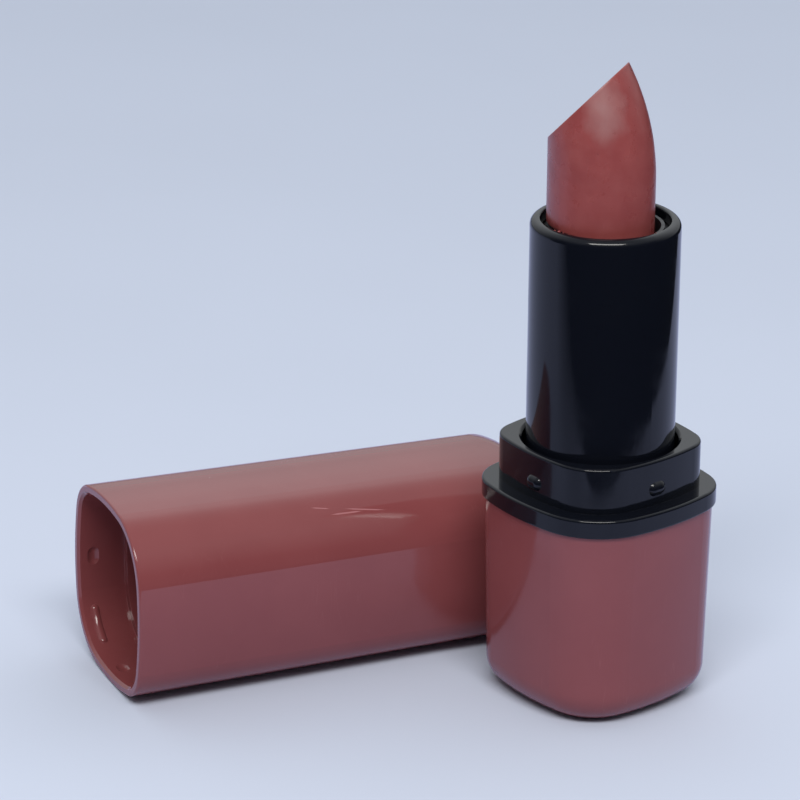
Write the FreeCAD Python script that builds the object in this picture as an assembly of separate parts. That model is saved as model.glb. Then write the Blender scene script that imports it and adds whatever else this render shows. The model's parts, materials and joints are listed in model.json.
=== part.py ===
import FreeCAD, Part
import os
from math import asin, atan2, cos, pi, radians, sin, sqrt

# A square lipstick case with a swivel-up mechanism, open, with its cap lying on the same surface.
# Millimetres. Origin: centre of the base's underside. +Z: up along the bullet. X, Y: square to the sides.

Vector = FreeCAD.Vector
UP = Vector(0, 0, 1)
FLAT = 1e-4

# --- Case section: a square with bowed sides, two wide corners and two tight ones ---
HALF_WIDTH = 11.1        # axis to the middle of a side
SIDE_RADIUS = 29.4       # radius of the bowed sides
TIGHT_CORNER = 5.2       # corners at +X+Y and -X-Y
WIDE_CORNER = 7.8        # corners at -X+Y and +X-Y

# --- Base ---
BASE_HEIGHT = 23.2
BASE_WALL = 1.5
BASE_FLOOR = 1.7
BASE_ROUND = 3.9         # rounding of the base's bottom edge
DRAFT = 0.5              # how much further in the closed ends are than the open ends
RING_WALL = 0.8          # locating ring around the weight
RING_HEIGHT = 4.5
WEIGHT_RADIUS = 7.5
WEIGHT_HEIGHT = 7.0
WEIGHT_CHAMFER = 0.4
LABEL_RADIUS = 5.5
LABEL_THICKNESS = 0.12
LABEL_RECESS = 0.2

# --- Collar insert ---
FLANGE_THICKNESS = 2.2
FLANGE_OVERHANG = 0.4
COLLAR_HEIGHT = 5.25
COLLAR_INSET = 1.5
COLLAR_BORE = 8.75
COLLAR_ROUND = 0.3
SKIRT_INSET = 1.85
SKIRT_WALL = 1.2
SKIRT_BOTTOM = 13.0
SOCKET_RADIUS = 7.55
SOCKET_WALL = 1.0
LEDGE_Z = 26.0           # where the inner body's shoulder sits in the collar
BUMP_Z = 27.3
BUMP_LENGTH = 2.6
BUMP_RADIUS = 0.95
BUMP_PROUD = 0.45

# --- Swivel mechanism ---
LEAD = 16.0              # rise of the helical slots in one turn
TURNS = 1.2              # from fully up to fully down
LUG_RADIUS = 0.9
LUG_TIP = 7.6
LUG_Z = 49.3             # with the bullet fully up
SLOT_WIDTH = 2.0
SLOT_END = 1.1           # a lug's centre to the end of its slot
TRAVEL = LEAD * TURNS
FORK_BORE = 6.55
FORK_RADIUS = 7.1
FORK_LIP = 7.42
FORK_LIP_HEIGHT = 0.6
FORK_TOP = 54.5
FORK_FLOOR_Z = 24.8
FORK_FLOOR = 1.2
SHOULDER_RADIUS = 8.2
SHOULDER_HEIGHT = 0.9
KNOB_RADIUS = 7.5
KNOB_BOTTOM = 15.0
KNOB_WALL = 1.3
CAM_BORE = 7.18
CAM_RADIUS = 7.68
CAM_BOTTOM = 28.6
CAM_TOP = 53.8
RING_SECTION = 0.28      # damper ring, radius of its round section
RING_CENTRE = 7.41

# --- Outer tube ---
TUBE_RADIUS = 8.3
TUBE_BORE = 7.72
TUBE_BOTTOM = 27.0
TUBE_TOP = 56.1
TUBE_MOUTH = 7.15
TUBE_LIP = 1.3
TUBE_ROUND = 0.85        # outer rounding of the rim
TUBE_INNER_ROUND = 0.25

# --- Cup and bullet ---
CUP_RADIUS = 6.45
CUP_BORE = 6.07
CUP_TOP = 55.4
CUP_HEIGHT = 9.6
CUP_FLOOR = 1.0
CUP_HOLE = 2.0
BULLET_RADIUS = 6.05
BULLET_SHOULDER_Z = 60.6     # where the straight side ends and the ogive starts
OGIVE_RADIUS = 25.6
BULLET_TIP_Z = 73.6
CUT_TILT = 46.5              # slope of the slanted face
CUT_HEADING = 211.8          # heading that the slanted face looks towards

# --- Cap ---
CAP_LENGTH = 52.2
CAP_ROUND = 4.6
CAP_WALL = 1.1           # at the mouth, where it slides over the collar
CAP_BODY_WALL = 2.0
CAP_SEAT_DEPTH = 5.7
CAP_END_WALL = 1.8
CAP_DIMPLE_CUT = 0.25     # depth of the dimples that the collar's bumps snap into
CAP_DIMPLE_CLEARANCE = 0.15
CAP_RIB_DEPTH = 1.7      # ribs inside the wide corners, measured from the mouth
CAP_RIB_RADIUS = 0.6
CAP_RIB_PROUD = 0.3
CAP_RIB_SPAN = 34.0
CAP_MOUTH_CHAMFER = 0.3
CAP_MOUTH_ROUND = 0.25
CAP_MOUTH = Vector(-35.3, -42.7, 0)   # point of the mouth's lowest edge on the surface it lies on
CAP_HEADING = 74.5                    # plan heading from the mouth to the closed end


def corner_centre(radius):
    """Distance along X and Y from the axis to the centre of a corner arc."""
    setback = SIDE_RADIUS - HALF_WIDTH
    return (sqrt(2 * (SIDE_RADIUS - radius) ** 2 - setback ** 2) - setback) / 2


def polar(centre, radius, angle):
    return centre + Vector(radius * cos(angle), radius * sin(angle), 0)


def arc(centre, radius, start, end):
    points = [polar(centre, radius, a) for a in (start, (start + end) / 2, end)]
    return Part.Arc(*points).toShape()


def section(grow, z):
    """Case outline at height z, moved out by grow (in, where negative)."""
    corners = (TIGHT_CORNER, WIDE_CORNER, TIGHT_CORNER, WIDE_CORNER)
    setback = SIDE_RADIUS - HALF_WIDTH
    reach = [corner_centre(radius) for radius in corners]
    turn = [atan2(r, r + setback) for r in reach]
    edges = []
    for i, radius in enumerate(corners):
        quarter = i * pi / 2
        diagonal = quarter + pi / 4
        centre = polar(Vector(0, 0, z), reach[i] * sqrt(2), diagonal)
        edges.append(arc(centre, radius + grow, quarter + turn[i], quarter + pi / 2 - turn[i]))
        side = quarter + pi / 2
        side_centre = polar(Vector(0, 0, z), -setback, side)
        edges.append(arc(side_centre, SIDE_RADIUS + grow, side - turn[i], side + turn[(i + 1) % 4]))
    return Part.Wire(edges)


def prism(grow, bottom, top):
    return Part.Face(section(grow, bottom)).extrude(UP * (top - bottom))


def drafted(grow_bottom, bottom, grow_top, top):
    return Part.makeLoft([section(grow_bottom, bottom), section(grow_top, top)], True, True)


def cylinder(radius, bottom, top):
    return Part.makeCylinder(radius, top - bottom, Vector(0, 0, bottom))


def tube(outer, inner, bottom, top):
    return cylinder(outer, bottom, top).cut(cylinder(inner, bottom, top))


def edges_at(shape, z, inside=100.0):
    """Edges lying flat at height z, no further from the axis than inside."""
    found = []
    for edge in shape.Edges:
        box = edge.BoundBox
        if abs(box.ZMin - z) < FLAT and abs(box.ZMax - z) < FLAT and box.XMax < inside:
            found.append(edge)
    return found


def base_shell():
    outer = drafted(-DRAFT, 0, 0, BASE_HEIGHT)
    outer = outer.makeFillet(BASE_ROUND, edges_at(outer, 0))
    cavity = drafted(-DRAFT - BASE_WALL, BASE_FLOOR, -BASE_WALL, BASE_HEIGHT)
    cavity = cavity.makeFillet(BASE_ROUND - BASE_WALL, edges_at(cavity, BASE_FLOOR))
    pocket = WEIGHT_RADIUS + 0.1
    ring = tube(pocket + RING_WALL, pocket, BASE_FLOOR, BASE_FLOOR + RING_HEIGHT)
    shell = outer.cut(cavity).fuse(ring.common(outer))
    shell = shell.cut(cylinder(pocket, BASE_FLOOR, BASE_HEIGHT))
    return shell.cut(cylinder(LABEL_RADIUS + 0.2, 0, LABEL_RECESS)).removeSplitter()


def base_weight():
    slug = cylinder(WEIGHT_RADIUS, BASE_FLOOR, BASE_FLOOR + WEIGHT_HEIGHT)
    return slug.makeChamfer(WEIGHT_CHAMFER, slug.Edges[:1] + slug.Edges[2:])


def shade_label():
    return cylinder(LABEL_RADIUS, LABEL_RECESS - LABEL_THICKNESS, LABEL_RECESS)


def snap_capsule(side, z, reach, radius):
    """Lying capsule centred across one side, at heading side, that comes out to reach from the axis."""
    along = Vector(-sin(side), cos(side), 0)
    length = BUMP_LENGTH - 2 * BUMP_RADIUS
    start = polar(Vector(0, 0, z), reach - radius, side) - along * (length / 2)
    capsule = Part.makeCylinder(radius, length, start, along)
    for tip in (start, start + along * length):
        capsule = capsule.fuse(Part.makeSphere(radius, tip))
    return capsule


def collar_insert():
    flange_top = BASE_HEIGHT + FLANGE_THICKNESS
    collar_top = flange_top + COLLAR_HEIGHT
    flange = prism(FLANGE_OVERHANG, BASE_HEIGHT, flange_top)
    flange = flange.makeFillet(COLLAR_ROUND, edges_at(flange, flange_top) + edges_at(flange, BASE_HEIGHT))
    collar = prism(-COLLAR_INSET, flange_top - COLLAR_ROUND, collar_top)
    collar = collar.makeFillet(COLLAR_ROUND, edges_at(collar, collar_top))
    skirt = prism(-SKIRT_INSET, SKIRT_BOTTOM, BASE_HEIGHT)
    skirt = skirt.cut(prism(-SKIRT_INSET - SKIRT_WALL, SKIRT_BOTTOM, BASE_HEIGHT))
    socket = cylinder(SOCKET_RADIUS + SOCKET_WALL, SKIRT_BOTTOM, BASE_HEIGHT)
    socket = socket.common(prism(-SKIRT_INSET, SKIRT_BOTTOM, BASE_HEIGHT))
    reach = HALF_WIDTH - COLLAR_INSET + BUMP_PROUD
    bumps = [snap_capsule(i * pi / 2, BUMP_Z, reach, BUMP_RADIUS) for i in range(4)]
    insert = flange.fuse([collar, skirt, socket] + bumps)
    insert = insert.cut(cylinder(SOCKET_RADIUS, SKIRT_BOTTOM, collar_top))
    insert = insert.cut(cylinder(COLLAR_BORE, LEDGE_Z, collar_top))
    lead_in = Part.makeCone(COLLAR_BORE, COLLAR_BORE + COLLAR_ROUND, COLLAR_ROUND,
                            Vector(0, 0, collar_top - COLLAR_ROUND))
    return insert.cut(lead_in).removeSplitter()


def fork_tube():
    """Slotted inner body: knob pressed into the collar insert, shoulder on its ledge, lip at the top."""
    body = cylinder(FORK_RADIUS, FORK_FLOOR_Z, FORK_TOP)
    body = body.fuse([
        cylinder(FORK_LIP, FORK_TOP - FORK_LIP_HEIGHT, FORK_TOP),
        cylinder(SHOULDER_RADIUS, LEDGE_Z, LEDGE_Z + SHOULDER_HEIGHT),
        cylinder(KNOB_RADIUS, KNOB_BOTTOM, LEDGE_Z),
    ])
    body = body.cut(cylinder(FORK_BORE, FORK_FLOOR_Z, FORK_TOP))
    body = body.cut(cylinder(KNOB_RADIUS - KNOB_WALL, KNOB_BOTTOM, FORK_FLOOR_Z - FORK_FLOOR))
    slot_bottom = LUG_Z - TRAVEL - SLOT_END
    slot_height = TRAVEL + 2 * SLOT_END
    corner = Vector(-SHOULDER_RADIUS, -SLOT_WIDTH / 2, slot_bottom)
    return body.cut(Part.makeBox(2 * SHOULDER_RADIUS, SLOT_WIDTH, slot_height, corner)).removeSplitter()


def helical_slot(heading):
    """Cutter along the path of one lug, from just above its top stop out through the sleeve's end."""
    radius = (CAM_BORE + CAM_RADIUS) / 2
    slope = atan2(LEAD, 2 * pi * radius)
    bottom = CAM_BOTTOM - SLOT_WIDTH
    top = LUG_Z + SLOT_END * sin(slope)
    depth = CAM_RADIUS - CAM_BORE
    across = Vector(0, -sin(slope), cos(slope)) * (SLOT_WIDTH / 2)
    inner, outer = Vector(radius - depth, 0, 0), Vector(radius + depth, 0, 0)
    outline = [inner - across, outer - across, outer + across, inner + across, inner - across]
    helix = Part.Wire(Part.makeHelix(LEAD, top - bottom, radius))
    cutter = helix.makePipeShell([Part.makePolygon(outline)], True, True)
    turned = (heading + 2 * pi * (bottom - LUG_Z) / LEAD) * 180 / pi
    cutter.rotate(Vector(0, 0, 0), UP, turned)
    cutter.translate(UP * bottom)
    return cutter


def spiral_cam():
    sleeve = tube(CAM_RADIUS, CAM_BORE, CAM_BOTTOM, CAM_TOP)
    return sleeve.cut([helical_slot(0), helical_slot(pi)])


def damper_ring():
    middle = (TUBE_BOTTOM + CAM_BOTTOM) / 2
    return Part.makeTorus(RING_CENTRE, RING_SECTION, Vector(0, 0, middle))


def outer_tube():
    body = cylinder(TUBE_RADIUS, TUBE_BOTTOM, TUBE_TOP)
    body = body.makeFillet(TUBE_ROUND, edges_at(body, TUBE_TOP))
    body = body.cut(cylinder(TUBE_BORE, TUBE_BOTTOM, TUBE_TOP - TUBE_LIP))
    body = body.cut(cylinder(TUBE_MOUTH, TUBE_BOTTOM, TUBE_TOP))
    return body.makeFillet(TUBE_INNER_ROUND, edges_at(body, TUBE_TOP, TUBE_MOUTH + FLAT))


def bullet_cup():
    bottom = CUP_TOP - CUP_HEIGHT
    lugs = Part.makeCylinder(LUG_RADIUS, 2 * LUG_TIP, Vector(-LUG_TIP, 0, LUG_Z), Vector(1, 0, 0))
    cup = cylinder(CUP_RADIUS, bottom, CUP_TOP).fuse(lugs)
    cup = cup.cut(cylinder(CUP_BORE, bottom + CUP_FLOOR, CUP_TOP))
    return cup.cut(cylinder(CUP_HOLE, bottom, CUP_TOP))


def bullet():
    """Straight stick with an ogive nose, cut by a slanted plane that leaves its tip off the axis."""
    bottom = CUP_TOP - CUP_HEIGHT + CUP_FLOOR
    base_angle = asin(1 - BULLET_RADIUS / OGIVE_RADIUS)
    apex_z = BULLET_SHOULDER_Z + OGIVE_RADIUS * cos(base_angle)
    centre = Vector(BULLET_RADIUS - OGIVE_RADIUS, 0, BULLET_SHOULDER_Z)
    halfway = (pi / 2 - base_angle) / 2
    middle = centre + Vector(OGIVE_RADIUS * cos(halfway), 0, OGIVE_RADIUS * sin(halfway))
    shoulder = Vector(BULLET_RADIUS, 0, BULLET_SHOULDER_Z)
    apex = Vector(0, 0, apex_z)
    side = Part.makePolygon([apex, Vector(0, 0, bottom), Vector(BULLET_RADIUS, 0, bottom), shoulder])
    nose = Part.Arc(shoulder, middle, apex).toShape()
    stick = Part.Face(Part.Wire(side.Edges + [nose])).revolve(Vector(0, 0, 0), UP, 360)
    rise = BULLET_TIP_Z - BULLET_SHOULDER_Z
    tip_reach = BULLET_RADIUS - OGIVE_RADIUS + sqrt(OGIVE_RADIUS ** 2 - rise ** 2)
    heading = radians(CUT_HEADING)
    tip = polar(Vector(0, 0, BULLET_TIP_Z), -tip_reach, heading)
    tilt = radians(CUT_TILT)
    normal = Vector(sin(tilt) * cos(heading), sin(tilt) * sin(heading), cos(tilt))
    waste = Part.makeCylinder(4 * BULLET_RADIUS, 4 * BULLET_RADIUS, tip, normal)
    return stick.cut(waste)


def corner_rib(diagonal):
    """Short bead round the inside of one wide corner of the cap; diagonal is the corner's heading."""
    radius = WIDE_CORNER - CAP_WALL - CAP_RIB_PROUD + CAP_RIB_RADIUS
    centre = polar(Vector(0, 0, CAP_RIB_DEPTH), corner_centre(WIDE_CORNER) * sqrt(2), diagonal)
    rib = Part.makeTorus(radius, CAP_RIB_RADIUS, centre, UP, -180, 180, CAP_RIB_SPAN)
    rib.rotate(centre, UP, diagonal * 180 / pi - CAP_RIB_SPAN / 2)
    for end in (-1, 1):
        tip = polar(centre, radius, diagonal + end * radians(CAP_RIB_SPAN / 2))
        rib = rib.fuse(Part.makeSphere(CAP_RIB_RADIUS, tip))
    return rib


def cap_shell():
    """Built mouth down on the case's own axes, then laid on its -Y side."""
    outer = drafted(0, 0, -DRAFT, CAP_LENGTH)
    outer = outer.makeFillet(CAP_ROUND, edges_at(outer, CAP_LENGTH))
    outer = outer.makeFillet(CAP_MOUTH_ROUND, edges_at(outer, 0))
    roof = CAP_LENGTH - CAP_END_WALL
    cavity = drafted(-CAP_BODY_WALL, CAP_SEAT_DEPTH, -DRAFT - CAP_BODY_WALL, roof)
    cavity = cavity.makeFillet(CAP_ROUND - CAP_BODY_WALL, edges_at(cavity, roof))
    seat = prism(-CAP_WALL, 0, CAP_SEAT_DEPTH)
    lead_in = drafted(CAP_MOUTH_CHAMFER - CAP_WALL, 0, -CAP_WALL, CAP_MOUTH_CHAMFER)
    dimple_z = BUMP_Z - BASE_HEIGHT - FLANGE_THICKNESS
    reach = HALF_WIDTH - CAP_WALL + CAP_DIMPLE_CUT
    radius = BUMP_RADIUS + CAP_DIMPLE_CLEARANCE
    dimples = [snap_capsule(i * pi / 2, dimple_z, reach, radius) for i in range(4)]
    cap = outer.cut([cavity, seat, lead_in] + dimples)
    cap = cap.fuse([corner_rib(-pi / 4), corner_rib(3 * pi / 4)])
    lean = atan2(DRAFT, CAP_LENGTH)
    heading = radians(CAP_HEADING)
    ahead = Vector(cos(heading), sin(heading), 0)
    across = Vector(-sin(heading), cos(heading), 0)
    axis = ahead * cos(lean) - UP * sin(lean)
    height = UP * cos(lean) + ahead * sin(lean)
    turn = FreeCAD.Rotation(across, height, axis, "ZXY")
    cap.Placement = FreeCAD.Placement(CAP_MOUTH + height * HALF_WIDTH, turn)
    return cap


PARTS = {
    "base_shell": base_shell,
    "base_weight": base_weight,
    "shade_label": shade_label,
    "collar_insert": collar_insert,
    "fork_tube": fork_tube,
    "damper_ring": damper_ring,
    "spiral_cam": spiral_cam,
    "outer_tube": outer_tube,
    "bullet_cup": bullet_cup,
    "bullet": bullet,
    "cap_shell": cap_shell,
}

os.makedirs("parts", exist_ok=True)
for name, build in PARTS.items():
    shape = build()
    shape.exportStep(f"parts/{name}.step")
    print(f"{name}: solids {len(shape.Solids)}, valid {shape.isValid()}, volume {shape.Volume:.1f} mm3")
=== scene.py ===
import json
import random
from math import cos, hypot, pi, radians, sin, sqrt

import bmesh
import bpy
from mathutils import Matrix, Vector, noise


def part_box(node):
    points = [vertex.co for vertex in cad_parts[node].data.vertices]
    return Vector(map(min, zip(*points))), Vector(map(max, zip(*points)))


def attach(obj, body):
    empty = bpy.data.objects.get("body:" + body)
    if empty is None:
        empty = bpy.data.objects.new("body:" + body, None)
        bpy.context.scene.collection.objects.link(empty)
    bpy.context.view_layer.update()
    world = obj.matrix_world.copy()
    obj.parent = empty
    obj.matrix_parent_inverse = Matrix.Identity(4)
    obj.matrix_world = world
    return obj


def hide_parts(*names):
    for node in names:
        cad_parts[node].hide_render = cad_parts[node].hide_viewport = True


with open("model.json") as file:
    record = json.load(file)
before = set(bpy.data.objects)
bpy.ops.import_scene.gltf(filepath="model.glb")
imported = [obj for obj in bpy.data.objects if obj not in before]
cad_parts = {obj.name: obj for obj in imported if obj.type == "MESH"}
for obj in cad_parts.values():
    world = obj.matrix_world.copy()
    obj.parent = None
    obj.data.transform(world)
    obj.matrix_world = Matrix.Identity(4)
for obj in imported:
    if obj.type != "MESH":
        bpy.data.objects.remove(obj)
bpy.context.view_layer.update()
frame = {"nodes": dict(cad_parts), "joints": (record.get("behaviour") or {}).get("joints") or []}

# A swivel-up lipstick case, open, with its cap lying beside it. Metres.

SEED = 11
MM = 0.001
UP = Vector((0, 0, 1))

# --- Camera ---
CAMERA_AZIMUTH = radians(50.981)     # 0 looks along +Y
CAMERA_ELEVATION = radians(20.968)
CAMERA_ROLL = radians(0.426)         # the horizon leans down to the right
CAMERA_DISTANCE = 0.46068
CAMERA_AIM = Vector((-0.02302, -0.01003, 0.03019))
CAMERA_SENSOR = 36.0
CAMERA_LENS = 181.94
CAMERA_CLIP = (0.01, 20)

# --- Bullet, as moulded and cut ---
BULLET_RADIUS = 6.0 * MM
BULLET_OFFSET = 0.66 * MM            # how far it stands off the tube's axis
OFFSET_HEADING = radians(231.0)
CUP_REACH = 6.03 * MM                # furthest its side goes from the tube's axis inside the cup
BORE_REACH = 6.52 * MM               # and above the cup, where it rubs on the tube's lining
REACH_RISE = 0.5 * MM                # height above the cup over which one becomes the other
SHOULDER_Z = 60.2 * MM               # where the straight side ends and the ogive starts, at the tip's side
SHOULDER_LATER = 4.6 * MM            # how much higher that is at the cut's side
OGIVE_RADIUS = 28.0 * MM             # of the curve from the shoulder to the tip
CUT_TILT = radians(46.55)
CUT_HEADING = radians(211.75)
CUT_REACH = 48.86 * MM               # to the cut's plane, from floor level on the bullet's own axis
CUT_SOFTNESS = 0.22 * MM             # how far the cut's edge is rounded over
CORE_BELOW = 2 * MM                  # the nose is measured from a point this far below SHOULDER_Z
FAR = 1.0                            # stands for a direction that never meets the cut

# --- Rows and columns of the bullet's mesh ---
BULLET_SIDES = 192
FOOT_ROWS = 4                        # inside the cup, and again from above the cup to the core
RISE_ROWS = 8                        # over REACH_RISE
SIDE_ROWS = 26
FACE_ROWS = 20
EDGE_STEPS = (0.0, 0.07 * MM, 0.15 * MM, 0.26 * MM, 0.45 * MM, 0.75 * MM)   # rows beside the cut's edge
EDGE_HALVINGS = 40                   # steps of the search for the cut's edge
CROWN_GAP = 0.02                     # radians kept free round the crown

# --- Painted sheen, a greyish patch on the wax, and the crumbs on the tube's rim ---
PAINTED_SHEEN_CENTRE = Vector((3.1, -3.3, 69.4)) * MM
PAINTED_SHEEN_REACH = 2.8 * MM               # from its centre to its border, across
PAINTED_SHEEN_SQUEEZE = Vector((1, 1, 0.6))  # heights count for less, so it is taller than wide
PAINTED_SHEEN_RAGGED = 0.4 * MM              # how far its border wanders in and out
PAINTED_SHEEN_STRENGTH = 0.75
CRUMB_INSET = 0.95 * MM              # from the tube's side to where they lie
CRUMB_LIFT = 0.20                    # how high a crumb's centre is above the rim, in its own sizes
CRUMBS = ((-1.48, 0.34), (-1.40, 0.22), (-1.57, 0.18), (-1.30, 0.14), (0.10, 0.12))  # (heading, mm)

# --- Cap ---
CAP_SCRATCHES = (                    # (depth from the mouth, height) of each end, and width, in mm
    ((24.0, 19.63), (28.2, 19.50), 0.16),
    ((25.8, 19.95), (31.0, 19.24), 0.12),
    ((22.1, 20.42), (24.4, 20.10), 0.09),
)

# --- Colours, linear ---
MAUVE = (0.232, 0.060, 0.063)
MAUVE_DEEP = (0.222, 0.056, 0.059)
MAUVE_WORN = (0.42, 0.17, 0.18)
BLACK = (0.0045, 0.0055, 0.0095)
BLACK_WORN = (0.03, 0.032, 0.04)
DARK_GREY = (0.020, 0.020, 0.024)
DARK_GREY_WORN = (0.06, 0.06, 0.07)
CAM_WHITE = (0.60, 0.60, 0.57)
BULLET = (0.262, 0.053, 0.053)
BULLET_PALE = (0.298, 0.069, 0.067)
# painted sheen: greyish colour that stands for the key light's soft reflection on the wax
PAINTED_SHEEN_GREY = (0.37, 0.215, 0.21)
STEEL = (0.55, 0.55, 0.56)
SILICONE = (0.10, 0.10, 0.10)
PAPER = (0.60, 0.55, 0.54)
INK = (0.05, 0.02, 0.025)
DUST = (0.62, 0.58, 0.56)
FLOOR = (0.580, 0.633, 0.762)
MAT = (0.48, 0.53, 0.79)
SKY_TINT = (0.93, 0.97, 1.0)
KEY_TINT = (1.0, 0.98, 0.95)

# --- How shiny they are ---
PLASTIC_IOR = 1.5
WAX_IOR = 1.45
BLACK_SPECULAR = 0.32
PAPER_SPECULAR = 0.2
PAPER_ROUGHNESS = 0.9

# --- Label ---
LABEL_RING = 0.86                    # the printed ring's radius, in label radii
LABEL_LINE = (0.10 * MM, 0.06 * MM)  # half widths at which the ring's line starts and is full

# --- Stage ---
FLOOR_SIDE = 6.0
FLOOR_DROP = 0.02 * MM               # keeps the floor just clear of the base's underside
MAT_FRONT = 78 * MM                  # from the tube's axis towards the camera
MAT_RIGHT = 110 * MM
MAT_CORNER = 110 * MM                # radius of its front right corner
MAT_CORNER_STEPS = 12
MAT_REACH = 1.5                      # how far it runs the other two ways
MAT_SHADE_DEPTH = 45 * MM                   # depth of the strip along its front edge that is darkened with painted shade
MAT_SHADE_LEFT = (-27.5 * MM, -99 * MM)   # where on the left the painted shade starts and is full
MAT_SHADED_SHARE = 0.1                      # share of its colour that is left under the painted shade

# --- Room light: (from, to, brightness at from, brightness at to) ---
WALL_RISE = (0.0, 0.45, 0.5, 0.85)   # by height, 0 level and 1 overhead
WALL_TOP = (0.95, 0.72, 0.0, 1.0)    # by height
WALL_SPREAD = (-0.2, 0.6, 0.05, 1.0)     # by direction, -1 in front of the case and 1 behind it
CEILING = (0.25, 0.75, 0.0, 0.5)     # by height
HORIZON = (-0.02, 0.02, 0.03, 1.0)   # by height

# --- Key light ---
KEY_ELEVATION = radians(52)
KEY_DISTANCE = 0.8
KEY_WIDTH = 0.62
KEY_HEIGHT = 0.20
KEY_BRIGHTNESS = 13.0                # of its surface
KEY_AIM = 0.03                       # height on the tube's axis that it faces


# ---------------------------------------------------------------- node helpers

class Tree:
    """Short calls for building one node tree."""

    def __init__(self, tree):
        self.tree = tree

    def put(self, kind, settings=None, **inputs):
        made = self.tree.nodes.new("ShaderNode" + kind)
        for key, value in (settings or {}).items():
            setattr(made, key, value)
        for key, value in inputs.items():
            name = key.replace("_", " ")
            socket = made.inputs[int(name[1:])] if name[1:].isdigit() else made.inputs[name]
            self.set(socket, value)
        return made

    def set(self, socket, value):
        if isinstance(value, bpy.types.NodeSocket):
            self.tree.links.new(value, socket)
        elif isinstance(value, tuple) and len(value) == 3 and socket.type == "RGBA":
            socket.default_value = (*value, 1)
        else:
            socket.default_value = value

    def math(self, operation, a, b=0.0):
        return self.put("Math", {"operation": operation}, i0=a, i1=b).outputs[0]

    def mix(self, factor, a, b):
        made = self.tree.nodes.new("ShaderNodeMix")
        made.data_type = "RGBA"
        self.set(made.inputs["Factor"], factor)
        self.set(made.inputs[6], a)
        self.set(made.inputs[7], b)
        return made.outputs[2]

    def span(self, value, low, high, to_low=0.0, to_high=1.0):
        made = self.put("MapRange", None, Value=value, From_Min=low, From_Max=high,
                        To_Min=to_low, To_Max=to_high)
        return made.outputs[0]

    def where(self):
        return self.put("TexCoord").outputs["Object"]

    def along(self, direction, start=0.0):
        """How far a point lies along a direction, from start."""
        dot = self.put("VectorMath", {"operation": "DOT_PRODUCT"}, i0=self.where(),
                       i1=tuple(direction))
        return self.math("SUBTRACT", dot.outputs["Value"], start)

    def place(self, scale=(1, 1, 1), turn=(0, 0, 0)):
        return self.put("Mapping", None, Vector=self.where(), Scale=scale, Rotation=turn).outputs[0]

    def noise(self, size, detail=3.0, rough=0.5, scale=(1, 1, 1), turn=(0, 0, 0)):
        """Noise whose features are about size metres across."""
        made = self.put("TexNoise", None, Vector=self.place(scale, turn), Scale=1 / size,
                        Detail=detail, Roughness=rough)
        return made.outputs[0]

    def bump(self, height, distance, strength=1.0, under=None):
        made = self.put("Bump", None, Height=height, Distance=distance, Strength=strength)
        if under is not None:
            self.set(made.inputs["Normal"], under)
        return made.outputs[0]

    def most(self, *masks):
        """The strongest of some masks."""
        whole = masks[0]
        for mask in masks[1:]:
            whole = self.math("MAXIMUM", whole, mask)
        return whole


def material(name):
    made = bpy.data.materials.new(name)
    made.use_nodes = True
    return made, Tree(made.node_tree), made.node_tree.nodes["Principled BSDF"]


def dimmed(colour, share):
    return tuple(share * c for c in colour)


def hairlines(t, size, width, turn, patch):
    """Fine straight scratches: where stretched noise crosses its middle, inside scattered patches."""
    streaks = t.noise(size, 1, 0.4, scale=(1, 1, 0.03), turn=turn)
    off = t.math("ABSOLUTE", t.math("SUBTRACT", streaks, 0.5))
    line = t.span(off, width, 0.0)
    return t.math("MULTIPLY", line, t.span(t.noise(patch, 2), 0.56, 0.66))


def specks(t, spacing, share, size):
    """Round specks, one in some of the cells of a Voronoi pattern: dust on the plastics, pits on the wax.
    """
    cells = t.put("TexVoronoi", None, Vector=t.where(), Scale=1 / spacing, Randomness=1.0)
    red = t.put("SeparateColor", None, Color=cells.outputs["Color"]).outputs[0]
    chosen = t.math("LESS_THAN", red, share)
    dot = t.span(cells.outputs["Distance"], size / spacing, 0.6 * size / spacing)
    return t.math("MULTIPLY", dot, chosen)


def worn_edges(t, width):
    """1 on sharp edges, fading out over width."""
    rounded = t.put("Bevel", {"samples": 6}, Radius=width).outputs[0]
    plain = t.put("NewGeometry").outputs["Normal"]
    agree = t.put("VectorMath", {"operation": "DOT_PRODUCT"}, i0=rounded, i1=plain)
    return t.span(agree.outputs["Value"], 0.97, 0.80)


def stroke(t, depth, height, start, end, width):
    """One thin straight scratch between two points of a flat pattern, pointed at both ends."""
    length = hypot(end[0] - start[0], end[1] - start[1])
    run, rise = (end[0] - start[0]) / length, (end[1] - start[1]) / length
    x = t.math("SUBTRACT", depth, start[0])
    y = t.math("SUBTRACT", height, start[1])
    ahead = t.math("ADD", t.math("MULTIPLY", x, run), t.math("MULTIPLY", y, rise))
    aside = t.math("SUBTRACT", t.math("MULTIPLY", y, run), t.math("MULTIPLY", x, rise))
    to_end = t.math("MINIMUM", ahead, t.math("SUBTRACT", length, ahead))
    taper = t.span(to_end, 0.0, length / 4)
    half = t.math("MULTIPLY", taper, width / 2)
    gap = t.math("SUBTRACT", half, t.math("ABSOLUTE", aside))
    return t.math("MULTIPLY", t.span(gap, 0.0, width / 4), t.math("GREATER_THAN", to_end, 0.0))


# ---------------------------------------------------------------- materials

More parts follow.
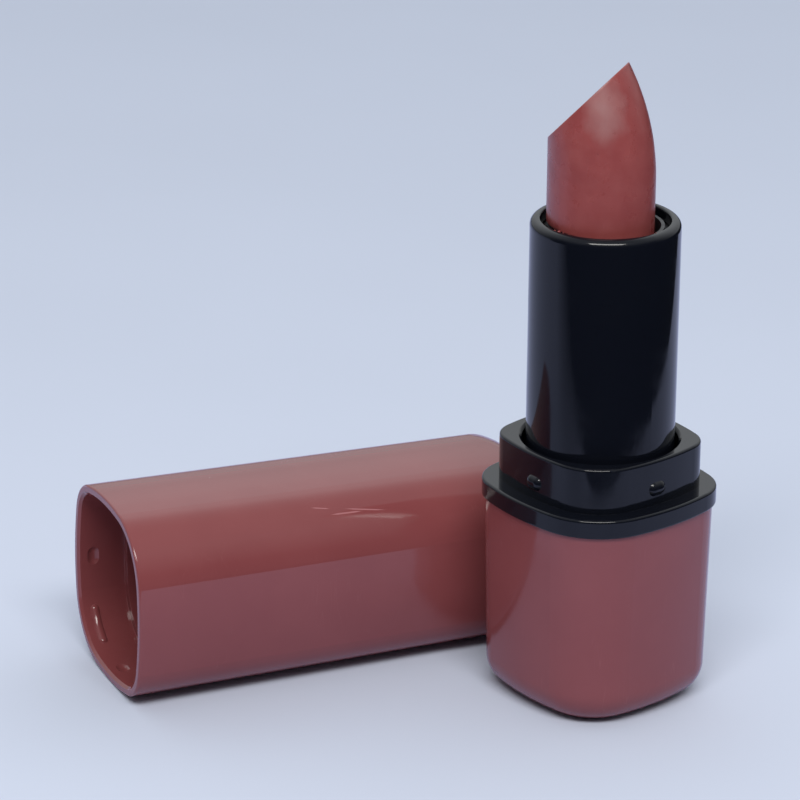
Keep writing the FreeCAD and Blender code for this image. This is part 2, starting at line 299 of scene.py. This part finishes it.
def glossy_mauve(name, marks=None):
    """Glossy moulded plastic: faintly cloudy colour, smudges, hairlines, dust and worn edges."""
    made, t, shader = material(name)
    lines = t.most(hairlines(t, 1.1 * MM, 0.010, (0.3, 1.2, 0.4), 7 * MM),
                   hairlines(t, 0.9 * MM, 0.008, (1.1, 0.2, 2.0), 5 * MM))
    dots = specks(t, 3.1 * MM, 0.16, 0.055 * MM)
    wear = t.math("MULTIPLY", worn_edges(t, 0.22 * MM), t.span(t.noise(1.3 * MM, 3), 0.35, 0.6))
    scars = marks(t) if marks else 0.0
    colour = t.mix(t.span(t.noise(8 * MM, 3), 0.38, 0.62), MAUVE_DEEP, MAUVE)
    colour = t.mix(t.math("MULTIPLY", wear, 0.55), colour, MAUVE_WORN)
    colour = t.mix(t.math("MULTIPLY", lines, 0.10), colour, MAUVE_WORN)
    colour = t.mix(t.math("MULTIPLY", dots, 0.7), colour, DUST)
    colour = t.mix(t.math("MULTIPLY", scars, 0.85), colour, MAUVE_WORN)
    t.set(shader.inputs["Base Color"], colour)
    smudge = t.span(t.noise(4.5 * MM, 4, 0.6), 0.42, 0.70, 0.07, 0.13)
    rough = t.math("ADD", smudge, t.math("MULTIPLY", t.most(lines, wear), 0.14))
    t.set(shader.inputs["Roughness"], t.math("ADD", rough, t.math("MULTIPLY", dots, 0.4)))
    swell = t.bump(t.noise(11 * MM, 1), 0.010 * MM)
    grain = t.bump(t.noise(0.35 * MM, 2), 0.0006 * MM, under=swell)
    cut = t.math("MULTIPLY", t.most(lines, t.math("MULTIPLY", scars, 4.0)), -1.0)
    t.set(shader.inputs["Normal"], t.bump(cut, 0.0025 * MM, under=grain))
    shader.inputs["IOR"].default_value = PLASTIC_IOR
    return made


def cap_marks(t):
    """The deeper scratches, high on the cap's near side."""
    inward, sideways, mouth, middle = cap_frame()
    depth = t.along(inward, mouth)
    height = t.along(UP)
    lines = [stroke(t, depth, height, (a[0] * MM, a[1] * MM), (b[0] * MM, b[1] * MM), width * MM)
             for a, b, width in CAP_SCRATCHES]
    near = t.math("GREATER_THAN", t.along(sideways, middle), 0.0)
    return t.math("MULTIPLY", t.most(*lines), near)


def glossy_black():
    """Glossy black plastic: smudges, hairlines, dust, and a faint waviness from moulding."""
    made, t, shader = material("black_plastic")
    lines = hairlines(t, 0.9 * MM, 0.007, (0.2, 0.1, 0.6), 6 * MM)
    dots = specks(t, 2.3 * MM, 0.20, 0.05 * MM)
    wear = t.math("MULTIPLY", worn_edges(t, 0.15 * MM), t.span(t.noise(0.9 * MM, 3), 0.4, 0.65))
    colour = t.mix(t.math("MULTIPLY", wear, 0.5), BLACK, BLACK_WORN)
    colour = t.mix(t.math("MULTIPLY", dots, 0.5), colour, DUST)
    t.set(shader.inputs["Base Color"], colour)
    smudge = t.span(t.noise(5 * MM, 4, 0.6), 0.45, 0.72, 0.07, 0.17)
    t.set(shader.inputs["Roughness"], t.math("ADD", smudge, t.math("MULTIPLY", lines, 0.12)))
    swell = t.bump(t.noise(6 * MM, 1), 0.006 * MM)
    t.set(shader.inputs["Normal"], t.bump(t.math("MULTIPLY", lines, -1.0), 0.002 * MM, under=swell))
    shader.inputs["Specular IOR Level"].default_value = BLACK_SPECULAR
    shader.inputs["IOR"].default_value = PLASTIC_IOR
    return made


def painted_sheen(t):
    """Painted sheen: a soft greyish patch that stands for the key light's reflection, high on the bullet's
    near side, uneven at its border.
    """
    gap = t.put("VectorMath", {"operation": "DISTANCE"}, i0=t.place(tuple(PAINTED_SHEEN_SQUEEZE)),
                i1=tuple(PAINTED_SHEEN_CENTRE * PAINTED_SHEEN_SQUEEZE)).outputs["Value"]
    ragged = t.math("ADD", gap, t.span(t.noise(1.8 * MM, 3), 0.3, 0.7, -PAINTED_SHEEN_RAGGED, PAINTED_SHEEN_RAGGED))
    return t.math("MULTIPLY", t.span(ragged, PAINTED_SHEEN_REACH, 0.0), PAINTED_SHEEN_STRENGTH)


def lipstick_wax():
    """Satin wax: mottled pigment, a satin sheen from its roughness, a painted greyish sheen patch, slight
    pits darkened with painted shade, and light that goes a little way in.
    """
    made, t, shader = material("lipstick")
    mottle = t.noise(2.6 * MM, 5, 0.6)
    colour = t.mix(t.span(mottle, 0.36, 0.66), BULLET, BULLET_PALE)
    shaded_pits = specks(t, 1.7 * MM, 0.22, 0.10 * MM)
    # painted shade: the wax is darker in its pits
    colour = t.mix(t.math("MULTIPLY", shaded_pits, 0.5), colour, dimmed(BULLET, 0.6))
    # painted sheen: the greyish patch is mixed into the wax's colour
    t.set(shader.inputs["Base Color"], t.mix(painted_sheen(t), colour, PAINTED_SHEEN_GREY))
    t.set(shader.inputs["Roughness"], t.span(t.noise(1.6 * MM, 4), 0.35, 0.65, 0.26, 0.34))
    soft = t.bump(t.noise(1.9 * MM, 2), 0.030 * MM)
    grain = t.bump(t.noise(0.16 * MM, 4, 0.7), 0.006 * MM, under=soft)
    t.set(shader.inputs["Normal"], t.bump(t.math("MULTIPLY", shaded_pits, -1.0), 0.02 * MM, under=grain))
    shader.inputs["Subsurface Weight"].default_value = 0.10
    shader.inputs["Subsurface Radius"].default_value = (1.0, 0.35, 0.28)
    shader.inputs["Subsurface Scale"].default_value = 0.6 * MM
    shader.inputs["IOR"].default_value = WAX_IOR
    return made


def satin_plastic(name, colour, worn):
    """Plain satin moulding, for the working parts."""
    made, t, shader = material(name)
    cloud = t.span(t.noise(3 * MM, 3), 0.4, 0.65, 0.0, 0.35)
    rubbed = t.math("MULTIPLY", worn_edges(t, 0.15 * MM), 0.5)
    t.set(shader.inputs["Base Color"], t.mix(t.math("MAXIMUM", cloud, rubbed), colour, worn))
    t.set(shader.inputs["Roughness"], t.span(t.noise(1.2 * MM, 3), 0.35, 0.65, 0.34, 0.50))
    t.set(shader.inputs["Normal"], t.bump(t.noise(0.25 * MM, 3), 0.003 * MM))
    return made


def turned_steel():
    """A turned weight: fine rings round the axis, and a few dull patches."""
    made, t, shader = material("steel")
    rings = t.put("TexWave", {"wave_type": "RINGS", "rings_direction": "Z"}, Vector=t.where(),
                  Scale=1 / (2.2 * MM), Distortion=0.4, Detail=2.0).outputs[0]
    dull = t.span(t.noise(2.5 * MM, 4), 0.45, 0.7)
    t.set(shader.inputs["Base Color"], t.mix(dull, STEEL, dimmed(STEEL, 0.7)))
    t.set(shader.inputs["Roughness"], t.span(dull, 0.0, 1.0, 0.26, 0.44))
    t.set(shader.inputs["Normal"], t.bump(rings, 0.002 * MM))
    shader.inputs["Metallic"].default_value = 1.0
    return made


def silicone_rubber():
    """Dull grey rubber, for the damper ring."""
    made, t, shader = material("silicone")
    t.set(shader.inputs["Base Color"], t.mix(t.noise(0.8 * MM, 3), SILICONE, DARK_GREY))
    t.set(shader.inputs["Roughness"], t.span(t.noise(0.4 * MM, 3), 0.3, 0.7, 0.55, 0.75))
    t.set(shader.inputs["Normal"], t.bump(t.noise(0.2 * MM, 2), 0.003 * MM))
    return made


def blank_label():
    """A paper disc with no print but a thin plain ring near its edge."""
    made, t, shader = material("label")
    low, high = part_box("shade_label")
    radius = (high.x - low.x) / 2
    x, y = t.along((1, 0, 0)), t.along((0, 1, 0))
    out = t.math("SQRT", t.math("ADD", t.math("MULTIPLY", x, x), t.math("MULTIPLY", y, y)))
    off = t.math("ABSOLUTE", t.math("SUBTRACT", out, LABEL_RING * radius))
    ring = t.span(off, *LABEL_LINE)
    fibre = t.noise(0.5 * MM, 4, 0.6)
    paper = t.mix(t.span(fibre, 0.3, 0.7), PAPER, dimmed(PAPER, 0.9))
    t.set(shader.inputs["Base Color"], t.mix(ring, paper, INK))
    t.set(shader.inputs["Roughness"], t.span(fibre, 0.3, 0.7, 0.5, 0.65))
    t.set(shader.inputs["Normal"], t.bump(fibre, 0.004 * MM))
    return made


def floor_paper():
    """The floor's plain pale paper."""
    made, t, shader = material("floor")
    tone = t.span(t.noise(60 * MM, 2), 0.35, 0.65)
    t.set(shader.inputs["Base Color"], t.mix(tone, FLOOR, dimmed(FLOOR, 0.985)))
    t.set(shader.inputs["Normal"], t.bump(t.noise(0.5 * MM, 3), 0.006 * MM))
    shader.inputs["Roughness"].default_value = PAPER_ROUGHNESS
    shader.inputs["Specular IOR Level"].default_value = PAPER_SPECULAR
    return made


def painted_shade_mat_paper(forward, right):
    """The mat's paper, darkened with painted shade towards its front edge on the left, which the glossy
    parts reflect.
    """
    made, t, shader = material("reflected_mat")
    near_front = t.span(t.along((*forward, 0)), MAT_FRONT - MAT_SHADE_DEPTH, MAT_FRONT)
    on_left = t.span(t.along((*right, 0)), *MAT_SHADE_LEFT)
    # painted shade: the mat's colour is darkened near its front edge on the left
    painted_shade = t.math("MULTIPLY", near_front, on_left)
    t.set(shader.inputs["Base Color"], t.mix(painted_shade, MAT, dimmed(MAT, MAT_SHADED_SHARE)))
    shader.inputs["Roughness"].default_value = PAPER_ROUGHNESS
    shader.inputs["Specular IOR Level"].default_value = PAPER_SPECULAR
    return made


# ---------------------------------------------------------------- places

def axis_of(joint):
    return next(Vector(j["axis"]) for j in frame["joints"] if j["name"] == joint)


def cap_frame():
    """Which way the lying cap's hollow runs and its near side faces, and where its mouth and middle are."""
    inward = -axis_of("cap_pull").normalized()
    sideways = inward.cross(UP)
    points = [v.co for v in frame["nodes"]["cap_shell"].data.vertices]
    mouth = min(p.dot(inward) for p in points)
    across = [p.dot(sideways) for p in points]
    return inward, sideways, mouth, (min(across) + max(across)) / 2


def camera_axes():
    """Right, up and back of the camera, its roll included."""
    a, e = CAMERA_AZIMUTH, CAMERA_ELEVATION
    right = Vector((cos(a), sin(a), 0))
    back = Vector((sin(a) * cos(e), -cos(a) * cos(e), sin(e)))
    up = back.cross(right)
    turn = Matrix.Rotation(CAMERA_ROLL, 3, back)
    return turn @ right, turn @ up, back


# ---------------------------------------------------------------- pieces

def new_object(name, bm, look):
    mesh = bpy.data.meshes.new(name)
    bm.to_mesh(mesh)
    bm.free()
    mesh.shade_smooth()
    mesh.materials.append(look)
    made = bpy.data.objects.new(name, mesh)
    bpy.context.scene.collection.objects.link(made)
    return made


class BulletForm:
    """The bullet's surface. Its nose is given by the distance from a point on its axis, the core."""

    def __init__(self):
        self.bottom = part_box("bullet")[0].z
        self.cup_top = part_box("bullet_cup")[1].z
        self.core = UP * (SHOULDER_Z - CORE_BELOW)
        heading = Vector((cos(CUT_HEADING), sin(CUT_HEADING), 0))
        self.normal = heading * sin(CUT_TILT) + UP * cos(CUT_TILT)
        self.offset = Vector((cos(OFFSET_HEADING), sin(OFFSET_HEADING), 0)) * BULLET_OFFSET

    def side(self, turn, pitch):
        """Distance to the straight side or the ogive at a pitch above level."""
        straight = BULLET_RADIUS / max(cos(pitch), 1e-6)
        shoulder = SHOULDER_Z - self.core.z + SHOULDER_LATER * (1 + cos(turn - CUT_HEADING)) / 2
        if straight * sin(pitch) <= shoulder:
            return straight
        inward = BULLET_RADIUS - OGIVE_RADIUS
        along = inward * cos(pitch) + shoulder * sin(pitch)
        return along + sqrt(along ** 2 - inward ** 2 - shoulder ** 2 + OGIVE_RADIUS ** 2)

    def face(self, direction):
        """Distance to the slanted cut."""
        slope = self.normal.dot(direction)
        return (CUT_REACH - self.normal.dot(self.core)) / slope if slope > 1e-4 else FAR

    def direction(self, turn, pitch):
        return Vector((cos(turn) * cos(pitch), sin(turn) * cos(pitch), sin(pitch)))

    def edge(self, turn):
        """The pitch at which the side meets the cut."""
        low, high = 0.0, pi / 2
        for _ in range(EDGE_HALVINGS):
            middle = (low + high) / 2
            if self.side(turn, middle) < self.face(self.direction(turn, middle)):
                low = middle
            else:
                high = middle
        return low

    def point(self, turn, pitch):
        """A point of the nose: on the side or the cut, whichever is nearer, with the edge softened."""
        direction = self.direction(turn, pitch)
        a, b = self.side(turn, pitch), self.face(direction)
        blend = max(CUT_SOFTNESS - abs(a - b), 0) / CUT_SOFTNESS
        return self.core + direction * (min(a, b) - blend ** 2 * CUT_SOFTNESS / 4)

    def pitches(self, turn):
        """Rows from level to straight up, closer together by the cut's edge."""
        edge = self.edge(turn)
        reach = self.side(turn, edge)
        near = [step / reach for step in EDGE_STEPS]
        first, last = edge - near[-1], min(edge + near[-1], pi / 2 - CROWN_GAP)
        rows = [first * i / SIDE_ROWS for i in range(SIDE_ROWS)]
        rows += [edge - n for n in reversed(near)]
        rows += [edge + (last - edge) * n / near[-1] for n in near[1:]]
        rows += [last + (pi / 2 - last) * i / FACE_ROWS for i in range(1, FACE_ROWS)]
        return rows

    def foot(self):
        """Heights of the rows from the bottom, through the cup, to level with the core."""
        inside = self.cup_top - self.bottom
        rows = [self.bottom + inside * i / FOOT_ROWS for i in range(FOOT_ROWS)]
        rows += [self.cup_top + REACH_RISE * i / RISE_ROWS for i in range(RISE_ROWS + 1)]
        above = self.cup_top + REACH_RISE
        return rows + [above + (self.core.z - above) * i / FOOT_ROWS for i in range(1, FOOT_ROWS)]

    def settled(self, point):
        """A point shifted off the tube's axis, but no further out than the cup or the lining lets it."""
        moved = point + self.offset
        rise = min(max((point.z - self.cup_top) / REACH_RISE, 0), 1)
        limit = CUP_REACH + (BORE_REACH - CUP_REACH) * rise ** 2 * (3 - 2 * rise)
        shrink = min(limit / max(hypot(moved.x, moved.y), 1e-9), 1)
        return Vector((moved.x * shrink, moved.y * shrink, moved.z))


def bullet_piece(look):
    """The lipstick: a straight stick with an ogive nose, cut on a slant, standing a little off centre."""
    form = BulletForm()
    bm = bmesh.new()
    columns = []
    for i in range(BULLET_SIDES):
        turn = 2 * pi * i / BULLET_SIDES
        out = Vector((cos(turn), sin(turn), 0)) * BULLET_RADIUS
        column = [out + UP * z for z in form.foot()]
        column += [form.point(turn, pitch) for pitch in form.pitches(turn)]
        columns.append([bm.verts.new(form.settled(p)) for p in column])
    crown = bm.verts.new(form.settled(form.point(0, pi / 2)))
    floor = bm.verts.new(form.settled(UP * form.bottom))
    for a, b in zip(columns, columns[1:] + columns[:1]):
        for k in range(len(a) - 1):
            bm.faces.new((a[k], b[k], b[k + 1], a[k + 1]))
        bm.faces.new((a[-1], b[-1], crown))
        bm.faces.new((b[0], a[0], floor))
    made = new_object("bullet_wax", bm, look)
    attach(made, "carrier")
    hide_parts("bullet")


def crumb(bm, centre, size, rng):
    """One irregular crumb of wax."""
    made = bmesh.ops.create_icosphere(bm, subdivisions=3, radius=size / 2)["verts"]
    seed = Vector((rng.uniform(0, 9), rng.uniform(0, 9), rng.uniform(0, 9)))
    squash = Vector((rng.uniform(0.8, 1.2), rng.uniform(0.7, 1.0), rng.uniform(0.5, 0.7)))
    spin = Matrix.Rotation(rng.uniform(0, pi), 3, "Z")
    for v in made:
        swell = 1 + 0.5 * noise.noise(v.co / size * 2.2 + seed)
        v.co = centre + spin @ (v.co * swell * squash)


def crumb_piece(look):
    """A few crumbs of wax rubbed off on the rim of the tube."""
    low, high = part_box("outer_tube")
    rim = (high.x - low.x) / 2 - CRUMB_INSET
    rng = random.Random(SEED)
    bm = bmesh.new()
    for turn, size in CRUMBS:
        place = Vector((rim * cos(turn), rim * sin(turn), high.z + CRUMB_LIFT * size * MM))
        crumb(bm, place, size * MM, rng)
    made = new_object("wax_crumbs", bm, look)
    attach(made, "swivel")


# ---------------------------------------------------------------- stage

def flat_piece(name, points, z, look):
    bm = bmesh.new()
    bm.faces.new([bm.verts.new((p.x, p.y, z)) for p in points])
    made = new_object(name, bm, look)
    return made


def floor():
    """The floor that is seen. Glossy surfaces see the mat instead."""
    half = FLOOR_SIDE / 2
    corners = [Vector((x, y)) for x, y in ((-half, -half), (half, -half), (half, half), (-half, half))]
    made = flat_piece("floor", corners, -FLOOR_DROP, floor_paper())
    made.visible_glossy = False


def reflected_mat():
    """What glossy surfaces see of the floor: a pale mat that ends a little in front of the case."""
    forward = Vector((sin(CAMERA_AZIMUTH), -cos(CAMERA_AZIMUTH)))
    right = Vector((cos(CAMERA_AZIMUTH), sin(CAMERA_AZIMUTH)))
    points = [right * -MAT_REACH - forward * MAT_REACH, right * -MAT_REACH + forward * MAT_FRONT]
    for i in range(MAT_CORNER_STEPS + 1):
        turn = pi / 2 * i / MAT_CORNER_STEPS
        points.append(right * (MAT_RIGHT - MAT_CORNER * (1 - sin(turn)))
                      + forward * (MAT_FRONT - MAT_CORNER * (1 - cos(turn))))
    points.append(right * MAT_RIGHT - forward * MAT_REACH)
    made = flat_piece("reflected_mat", points, 0.0, painted_shade_mat_paper(forward, right))
    for kind in ("camera", "diffuse", "transmission", "volume_scatter", "shadow"):
        setattr(made, "visible_" + kind, False)


def studio_sky():
    """Room light: dark below, brightest halfway up behind the case, faint in front, dim overhead."""
    world = bpy.data.worlds.new("studio")
    bpy.context.scene.world = world
    world.use_nodes = True
    t = Tree(world.node_tree)
    towards = t.put("TexCoord").outputs["Generated"]
    height = t.put("SeparateXYZ", None, Vector=towards).outputs[2]
    away = (-sin(CAMERA_AZIMUTH), cos(CAMERA_AZIMUTH), 0.0)
    behind = t.put("VectorMath", {"operation": "DOT_PRODUCT"}, i0=towards, i1=away).outputs["Value"]
    wall = t.math("MULTIPLY", t.span(height, *WALL_RISE), t.span(height, *WALL_TOP))
    wall = t.math("MULTIPLY", wall, t.span(behind, *WALL_SPREAD))
    level = t.math("ADD", wall, t.span(height, *CEILING))
    level = t.math("MULTIPLY", level, t.span(height, *HORIZON))
    back = world.node_tree.nodes["Background"]
    t.set(back.inputs["Color"], SKY_TINT)
    t.set(back.inputs["Strength"], level)


def key_light():
    """One wide soft light, high above the camera, that faces the case."""
    data = bpy.data.lights.new("key", "AREA")
    data.shape = "RECTANGLE"
    data.size, data.size_y = KEY_WIDTH, KEY_HEIGHT
    data.energy = KEY_BRIGHTNESS * pi * KEY_WIDTH * KEY_HEIGHT
    data.color = KEY_TINT
    level = cos(KEY_ELEVATION)
    back = Vector((sin(CAMERA_AZIMUTH) * level, -cos(CAMERA_AZIMUTH) * level, sin(KEY_ELEVATION)))
    made = bpy.data.objects.new("key", data)
    made.location = UP * KEY_AIM + back * KEY_DISTANCE
    made.rotation_mode = "QUATERNION"
    made.rotation_quaternion = back.to_track_quat("Z", "Y")
    bpy.context.scene.collection.objects.link(made)


def camera():
    data = bpy.data.cameras.new("camera")
    data.sensor_width = CAMERA_SENSOR
    data.lens = CAMERA_LENS
    data.clip_start, data.clip_end = CAMERA_CLIP
    right, up, back = camera_axes()
    made = bpy.data.objects.new("camera", data)
    made.rotation_mode = "QUATERNION"
    made.rotation_quaternion = Matrix((right, up, back)).transposed().to_quaternion()
    made.location = CAMERA_AIM + back * CAMERA_DISTANCE
    bpy.context.scene.collection.objects.link(made)
    bpy.context.scene.camera = made


# ---------------------------------------------------------------- the scene

def finish_nodes():
    """Gives each part its material."""
    black = glossy_black()
    mechanism = satin_plastic("mechanism_plastic", DARK_GREY, DARK_GREY_WORN)
    looks = {
        "base_shell": glossy_mauve("mauve_plastic_base"),
        "cap_shell": glossy_mauve("mauve_plastic_cap", cap_marks),
        "collar_insert": black,
        "outer_tube": black,
        "fork_tube": mechanism,
        "bullet_cup": mechanism,
        "spiral_cam": satin_plastic("cam_plastic", CAM_WHITE, dimmed(CAM_WHITE, 0.8)),
        "damper_ring": silicone_rubber(),
        "base_weight": turned_steel(),
        "shade_label": blank_label(),
    }
    for name, look in looks.items():
        node = frame["nodes"][name]
        for holder in node.material_slots:
            holder.link = "OBJECT"
            holder.material = look


finish_nodes()
wax = lipstick_wax()
bullet_piece(wax)
crumb_piece(wax)
floor()
reflected_mat()
studio_sky()
key_light()
camera()
bpy.context.scene.view_settings.view_transform = "Standard"
